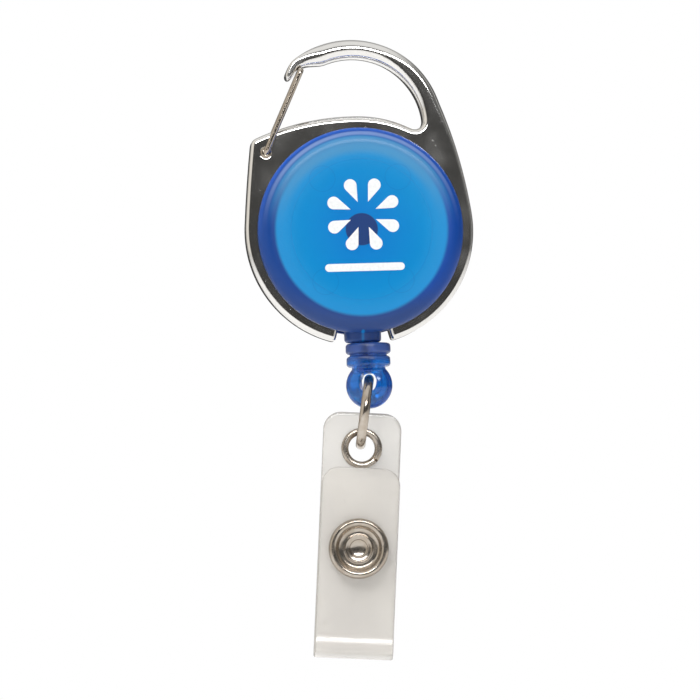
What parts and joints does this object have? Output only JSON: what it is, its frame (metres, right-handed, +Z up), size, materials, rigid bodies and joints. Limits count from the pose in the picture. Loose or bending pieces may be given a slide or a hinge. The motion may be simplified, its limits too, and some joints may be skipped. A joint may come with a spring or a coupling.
{
  "type": "retractable badge reel",
  "caption": "Round spring-return cord reel in a carabiner frame with a sprung wire gate, ending in a jump ring and a folded vinyl strap with a snap.",
  "frame": {"origin": "on the reel's axis, at the flat back face of the case", "axes": "+Z up towards the carabiner when it hangs, -Y out of the printed face, +Y out of the back face, +X to the right seen from the front"},
  "size_m": [0.0355, 0.0117, 0.0967],
  "materials": {
    "cast_metal": "bright chromed zinc casting",
    "gate_wire": "polished nickel wire",
    "case_front": "glossy translucent blue moulding",
    "case_rear": "glossy blue moulding",
    "spool": "plain moulded plastic",
    "power_spring": "blued spring steel strip",
    "cord": "tight braided cord",
    "crimp": "pressed brass sleeve",
    "bead": "glossy translucent blue moulding",
    "ring_wire": "nickel plated wire",
    "vinyl": "clear, slightly cloudy vinyl sheet",
    "nickel": "nickel plated pressing",
    "snap_spring": "bare spring wire"
  },
  "bodies": {
    "reel": {"carabiner_frame": "cast_metal", "front_case": "case_front", "rear_case": "case_rear", "power_spring": "power_spring"},
    "gate": {"gate_wire": "gate_wire"},
    "spool": {"spool": "spool", "cord_winding": "cord"},
    "cord_end": {"cord_lead": "cord", "cord_knot": "crimp"},
    "bead": {"cord_end_bead": "bead"},
    "ring": {"jump_ring": "ring_wire"},
    "strap": {"strap_back": "vinyl", "strap_fold": "vinyl", "strap_eyelet": "nickel", "snap_stud": "nickel", "snap_post": "nickel"},
    "flap": {"strap_flap": "vinyl", "snap_cap": "nickel", "snap_socket": "nickel", "snap_spring": "snap_spring"}
  },
  "joints": [
    {"name": "gate_hinge", "type": "hinge", "parent": "reel", "child": "gate", "pos_m": [-0.01435, -0.0047, 0.01249], "axis": [0, 1, 0], "range_deg": [0, 32], "stiffness_Nm_per_rad": 0.004, "springref_deg": -17.19},
    {"name": "cord_pull", "type": "slide", "parent": "reel", "child": "cord_end", "axis": [0, 0, -1], "range_m": [0, 0.6], "stiffness_N_per_m": 0.54, "springref_m": -1.1, "deforming": ["cord_lead"]},
    {"name": "spool_spin", "type": "hinge", "parent": "reel", "child": "spool", "pos_m": [0, -0.0047, 0], "axis": [0, 1, 0], "range_deg": [0, 3016], "deforming": ["power_spring"]},
    {"name": "bead_twist", "type": "hinge", "parent": "cord_end", "child": "bead", "pos_m": [0.00045, -0.0047, -0.0231], "axis": [0, 0, 1], "continuous": true},
    {"name": "ring_swing", "type": "hinge", "parent": "bead", "child": "ring", "pos_m": [0.00078, -0.0047, -0.0231], "axis": [0.0872, 0.9962, 0], "range_deg": [-30, 40]},
    {"name": "strap_swing", "type": "hinge", "parent": "ring", "child": "strap", "pos_m": [-0.00088, -0.0047, -0.03324], "axis": [0, 1, 0], "range_deg": [-14, 22]},
    {"name": "flap_fold", "type": "hinge", "parent": "strap", "child": "flap", "pos_m": [-0.00315, -0.00565, -0.065], "axis": [0.9971, 0, -0.0767], "range_deg": [0, 115], "deforming": ["strap_fold"]}
  ],
  "couplings": [
    {"joint": "spool_spin", "follows": "cord_pull", "rad_per_m": 87.72}
  ]
}
